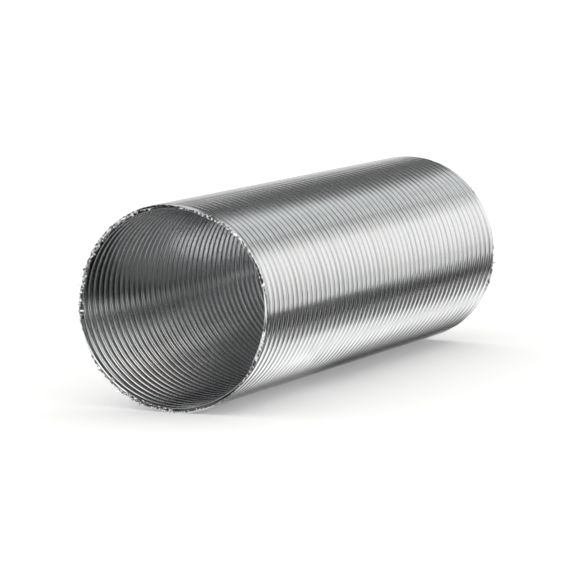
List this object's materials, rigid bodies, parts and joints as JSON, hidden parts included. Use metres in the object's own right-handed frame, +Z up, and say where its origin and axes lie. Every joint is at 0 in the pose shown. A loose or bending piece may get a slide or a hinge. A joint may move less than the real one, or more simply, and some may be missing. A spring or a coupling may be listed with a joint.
{
  "type": "flexible air duct",
  "caption": "Semi-rigid corrugated aluminium duct, spiral-wound strip with a folded lock seam; it stretches, bends and carries air between round spigots.",
  "frame": {"origin": "centre of the near mouth, on the bore's axis in the plane of the cut end", "axes": "+X along the duct into its near mouth and out of the far one, +Z up with the duct lying on its side"},
  "size_m": [0.3135, 0.1064, 0.1059],
  "materials": {
    "foil": "bright rolled foil with faint streaks along the winding",
    "seam_foil": "bright rolled foil, folded four deep"
  },
  "bodies": {
    "near_end": {"near_rim": "foil", "lock_seam_01": "seam_foil", "turn_01": "foil"},
    "ring_02": {"lock_seam_02": "seam_foil", "turn_02": "foil"},
    "ring_03": {"lock_seam_03": "seam_foil", "turn_03": "foil"},
    "ring_04": {"lock_seam_04": "seam_foil", "turn_04": "foil"},
    "ring_05": {"lock_seam_05": "seam_foil", "turn_05": "foil"},
    "ring_06": {"lock_seam_06": "seam_foil", "turn_06": "foil"},
    "ring_07": {"lock_seam_07": "seam_foil", "turn_07": "foil"},
    "ring_08": {"lock_seam_08": "seam_foil", "turn_08": "foil"},
    "ring_09": {"lock_seam_09": "seam_foil", "turn_09": "foil"},
    "ring_10": {"lock_seam_10": "seam_foil", "turn_10": "foil"},
    "ring_11": {"lock_seam_11": "seam_foil", "turn_11": "foil"},
    "ring_12": {"lock_seam_12": "seam_foil", "turn_12": "foil"},
    "far_end": {"lock_seam_13": "seam_foil", "far_rim": "foil"}
  },
  "joints": [
    {"name": "turn_01_stretch", "type": "slide", "parent": "near_end", "child": "ring_02", "axis": [1, 0, 0], "range_m": [-0.012, 0.011], "deforming": ["turn_01"]},
    {"name": "turn_02_bend_up_down", "type": "hinge", "parent": "ring_02", "child": "ring_03", "pos_m": [0.04425, 0, 0], "axis": [0, -1, 0], "range_deg": [-12.5, 12.5], "deforming": ["turn_02"]},
    {"name": "turn_03_stretch", "type": "slide", "parent": "ring_03", "child": "ring_04", "axis": [1, 0, 0], "range_m": [-0.012, 0.011], "deforming": ["turn_03"]},
    {"name": "turn_04_bend_sideways", "type": "hinge", "parent": "ring_04", "child": "ring_05", "pos_m": [0.09425, 0, 0], "axis": [0, 0, 1], "range_deg": [-12.5, 12.5], "deforming": ["turn_04"]},
    {"name": "turn_05_stretch", "type": "slide", "parent": "ring_05", "child": "ring_06", "axis": [1, 0, 0], "range_m": [-0.012, 0.011], "deforming": ["turn_05"]},
    {"name": "turn_06_bend_up_down", "type": "hinge", "parent": "ring_06", "child": "ring_07", "pos_m": [0.14425, 0, 0], "axis": [0, -1, 0], "range_deg": [-12.5, 12.5], "deforming": ["turn_06"]},
    {"name": "turn_07_stretch", "type": "slide", "parent": "ring_07", "child": "ring_08", "axis": [1, 0, 0], "range_m": [-0.012, 0.011], "deforming": ["turn_07"]},
    {"name": "turn_08_bend_sideways", "type": "hinge", "parent": "ring_08", "child": "ring_09", "pos_m": [0.19425, 0, 0], "axis": [0, 0, 1], "range_deg": [-12.5, 12.5], "deforming": ["turn_08"]},
    {"name": "turn_09_stretch", "type": "slide", "parent": "ring_09", "child": "ring_10", "axis": [1, 0, 0], "range_m": [-0.012, 0.011], "deforming": ["turn_09"]},
    {"name": "turn_10_bend_up_down", "type": "hinge", "parent": "ring_10", "child": "ring_11", "pos_m": [0.24425, 0, 0], "axis": [0, -1, 0], "range_deg": [-12.5, 12.5], "deforming": ["turn_10"]},
    {"name": "turn_11_stretch", "type": "slide", "parent": "ring_11", "child": "ring_12", "axis": [1, 0, 0], "range_m": [-0.012, 0.011], "deforming": ["turn_11"]},
    {"name": "turn_12_bend_sideways", "type": "hinge", "parent": "ring_12", "child": "far_end", "pos_m": [0.29425, 0, 0], "axis": [0, 0, 1], "range_deg": [-12.5, 12.5], "deforming": ["turn_12"]}
  ],
  "couplings": [
    {"joint": "turn_03_stretch", "follows": "turn_01_stretch", "ratio": 1},
    {"joint": "turn_05_stretch", "follows": "turn_01_stretch", "ratio": 1},
    {"joint": "turn_06_bend_up_down", "follows": "turn_02_bend_up_down", "ratio": 1},
    {"joint": "turn_07_stretch", "follows": "turn_01_stretch", "ratio": 1},
    {"joint": "turn_08_bend_sideways", "follows": "turn_04_bend_sideways", "ratio": 1},
    {"joint": "turn_09_stretch", "follows": "turn_01_stretch", "ratio": 1},
    {"joint": "turn_10_bend_up_down", "follows": "turn_02_bend_up_down", "ratio": 1},
    {"joint": "turn_11_stretch", "follows": "turn_01_stretch", "ratio": 1},
    {"joint": "turn_12_bend_sideways", "follows": "turn_04_bend_sideways", "ratio": 1}
  ]
}
